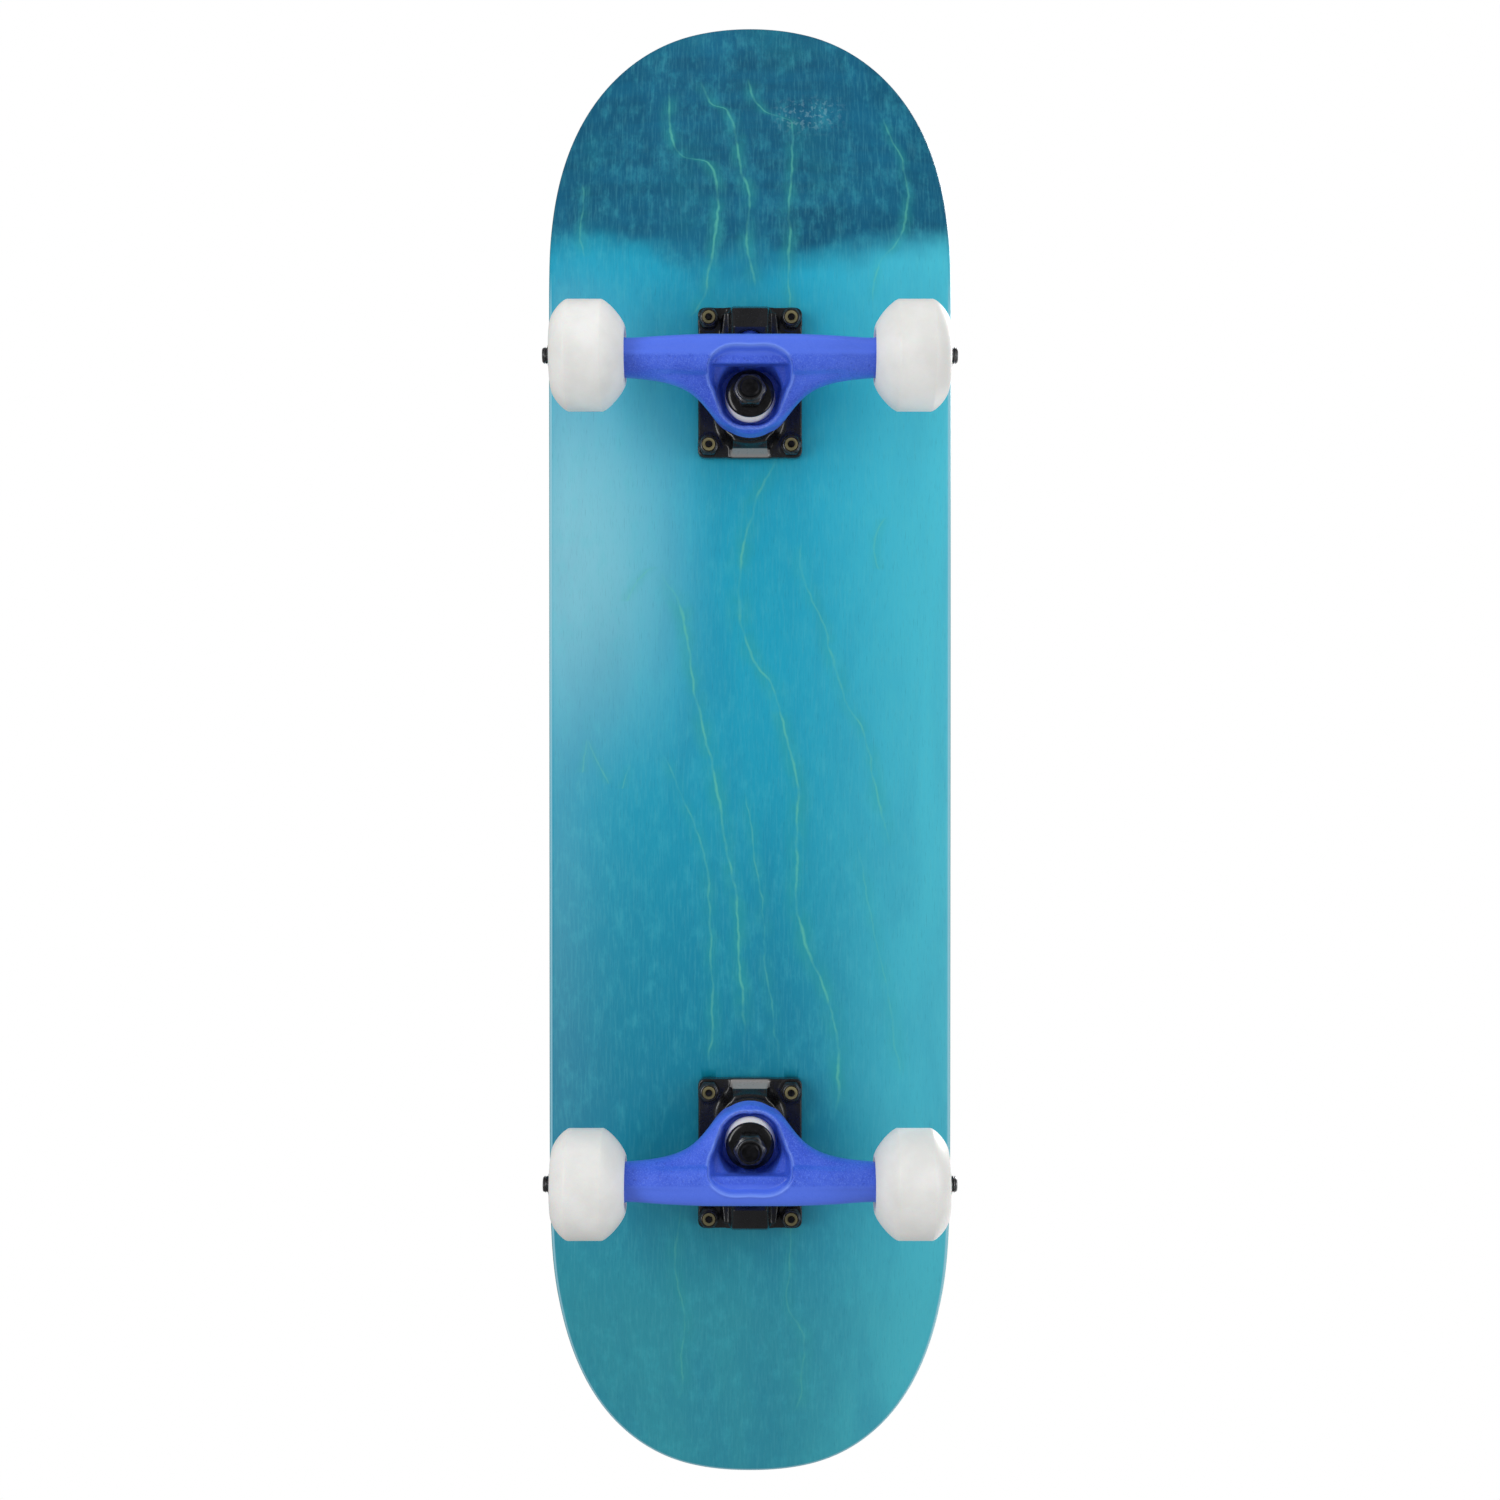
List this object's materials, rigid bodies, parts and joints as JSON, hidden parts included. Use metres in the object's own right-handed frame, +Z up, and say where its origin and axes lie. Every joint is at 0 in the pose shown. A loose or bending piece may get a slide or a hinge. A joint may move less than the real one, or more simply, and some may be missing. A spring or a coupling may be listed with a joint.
{
  "type": "skateboard",
  "caption": "Street skateboard: stained maple deck with kicked nose and tail, blue steering trucks on urethane bushings, and white wheels on ball bearings.",
  "frame": {"origin": "on the floor under the wheels, midway between the nose and tail tips", "axes": "+X towards the nose, +Y towards the left rail, +Z up from the floor to the standing face"},
  "size_m": [0.765, 0.2064, 0.1386],
  "materials": {
    "stained_maple": "satin translucent stain over maple",
    "grit": "coarse black grit",
    "blue_paint": "glossy enamel over a sand-cast surface",
    "black_paint": "satin black paint over a casting",
    "black_steel": "black oxide",
    "black_zinc": "black zinc plating",
    "bare_steel": "ground steel",
    "white_urethane": "satin cast urethane",
    "bushing_urethane": "satin cast urethane",
    "cup_urethane": "dull moulded urethane"
  },
  "bodies": {
    "root": {"deck": "stained_maple", "grip_tape": "grit", "front_baseplate": "black_paint", "front_pivot_cup": "cup_urethane", "front_kingpin": "black_steel", "front_bottom_washer": "black_steel", "front_board_bushing": "bushing_urethane", "front_road_bushing": "bushing_urethane", "front_top_washer": "black_steel", "front_kingpin_nut": "black_zinc", "front_mounting_bolt_1": "black_steel", "front_mounting_bolt_2": "black_steel", "front_mounting_bolt_3": "black_steel", "front_mounting_bolt_4": "black_steel", "front_mounting_nut_1": "black_zinc", "front_mounting_nut_2": "black_zinc", "front_mounting_nut_3": "black_zinc", "front_mounting_nut_4": "black_zinc", "rear_baseplate": "black_paint", "rear_pivot_cup": "cup_urethane", "rear_kingpin": "black_steel", "rear_bottom_washer": "black_steel", "rear_board_bushing": "bushing_urethane", "rear_road_bushing": "bushing_urethane", "rear_top_washer": "black_steel", "rear_kingpin_nut": "black_zinc", "rear_mounting_bolt_1": "black_steel", "rear_mounting_bolt_2": "black_steel", "rear_mounting_bolt_3": "black_steel", "rear_mounting_bolt_4": "black_steel", "rear_mounting_nut_1": "black_zinc", "rear_mounting_nut_2": "black_zinc", "rear_mounting_nut_3": "black_zinc", "rear_mounting_nut_4": "black_zinc"},
    "front_hanger": {"front_hanger": "blue_paint", "front_axle": "bare_steel", "front_left_bearing_spacer": "bare_steel", "front_left_axle_nut": "black_zinc", "front_right_bearing_spacer": "bare_steel", "front_right_axle_nut": "black_zinc"},
    "front_left_wheel": {"front_left_wheel": "white_urethane", "front_left_inner_bearing": "bare_steel", "front_left_outer_bearing": "bare_steel"},
    "front_right_wheel": {"front_right_wheel": "white_urethane", "front_right_inner_bearing": "bare_steel", "front_right_outer_bearing": "bare_steel"},
    "rear_hanger": {"rear_hanger": "blue_paint", "rear_axle": "bare_steel", "rear_left_bearing_spacer": "bare_steel", "rear_left_axle_nut": "black_zinc", "rear_right_bearing_spacer": "bare_steel", "rear_right_axle_nut": "black_zinc"},
    "rear_left_wheel": {"rear_left_wheel": "white_urethane", "rear_left_inner_bearing": "bare_steel", "rear_left_outer_bearing": "bare_steel"},
    "rear_right_wheel": {"rear_right_wheel": "white_urethane", "rear_right_inner_bearing": "bare_steel", "rear_right_outer_bearing": "bare_steel"}
  },
  "joints": [
    {"name": "front_steer", "type": "hinge", "parent": "root", "child": "front_hanger", "pos_m": [0.17108, 0, 0.04765], "axis": [0.8991, 0, 0.4378], "range_deg": [-12, 12], "stiffness_Nm_per_rad": 40, "deforming": ["front_board_bushing", "front_road_bushing"]},
    {"name": "front_left_spin", "type": "hinge", "parent": "front_hanger", "child": "front_left_wheel", "pos_m": [0.1894, 0.0774, 0.0265], "axis": [0, 1, 0], "continuous": true},
    {"name": "front_right_spin", "type": "hinge", "parent": "front_hanger", "child": "front_right_wheel", "pos_m": [0.1894, -0.0774, 0.0265], "axis": [0, 1, 0], "continuous": true},
    {"name": "rear_steer", "type": "hinge", "parent": "root", "child": "rear_hanger", "pos_m": [-0.18968, 0, 0.04765], "axis": [-0.8991, 0, 0.4378], "range_deg": [-12, 12], "stiffness_Nm_per_rad": 40, "deforming": ["rear_board_bushing", "rear_road_bushing"]},
    {"name": "rear_left_spin", "type": "hinge", "parent": "rear_hanger", "child": "rear_left_wheel", "pos_m": [-0.208, 0.0774, 0.0265], "axis": [0, 1, 0], "continuous": true},
    {"name": "rear_right_spin", "type": "hinge", "parent": "rear_hanger", "child": "rear_right_wheel", "pos_m": [-0.208, -0.0774, 0.0265], "axis": [0, 1, 0], "continuous": true}
  ]
}
